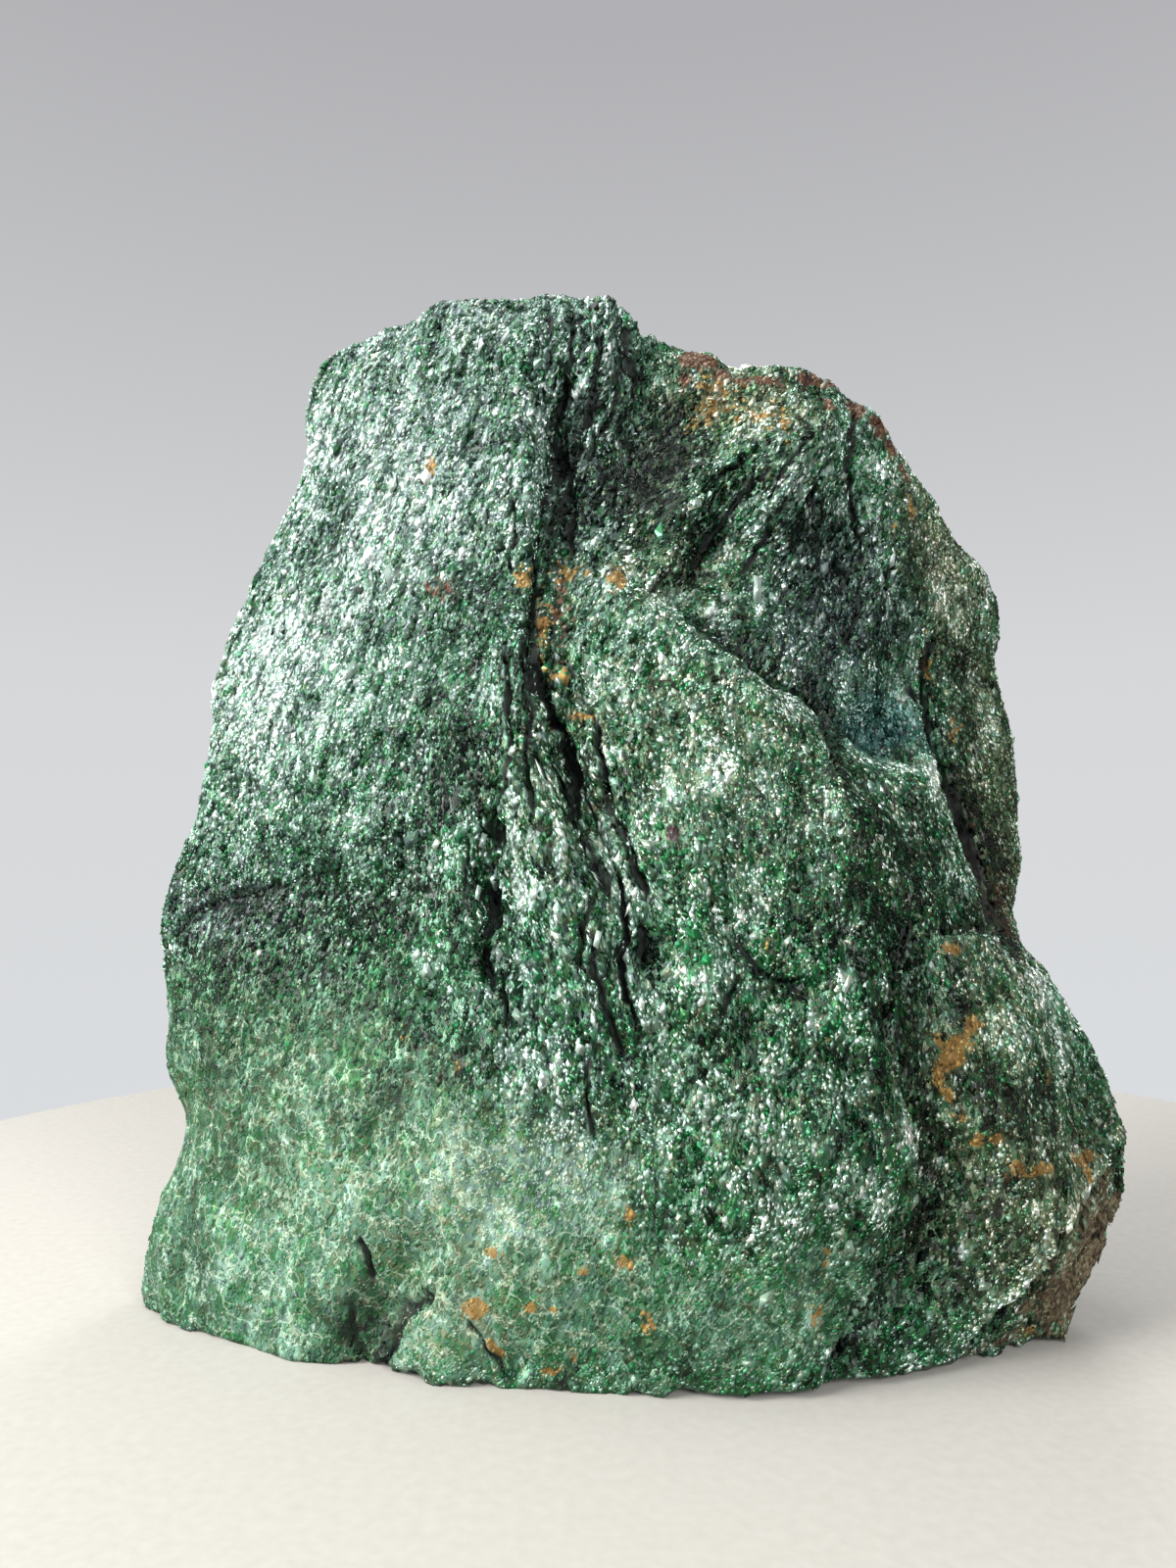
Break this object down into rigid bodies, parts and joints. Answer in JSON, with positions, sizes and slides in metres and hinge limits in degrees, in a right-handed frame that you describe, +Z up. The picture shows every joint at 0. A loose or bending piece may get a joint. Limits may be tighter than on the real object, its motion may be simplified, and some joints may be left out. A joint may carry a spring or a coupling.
{
  "type": "raw fuchsite specimen",
  "caption": "Rough standing lump of green mica schist with a cleft face, a stepped shoulder and a flat broken base.",
  "frame": {"origin": "under the middle of the lump, on the surface that it stands on", "axes": "+X to the right of the cleft face, +Y from the cleft face through the stone to its back, +Z up"},
  "size_m": [0.183, 0.082, 0.196],
  "materials": {
    "fuchsite": "rough, glittering with mica flakes"
  },
  "bodies": {
    "root": {"stone": "fuchsite"}
  },
  "joints": []
}
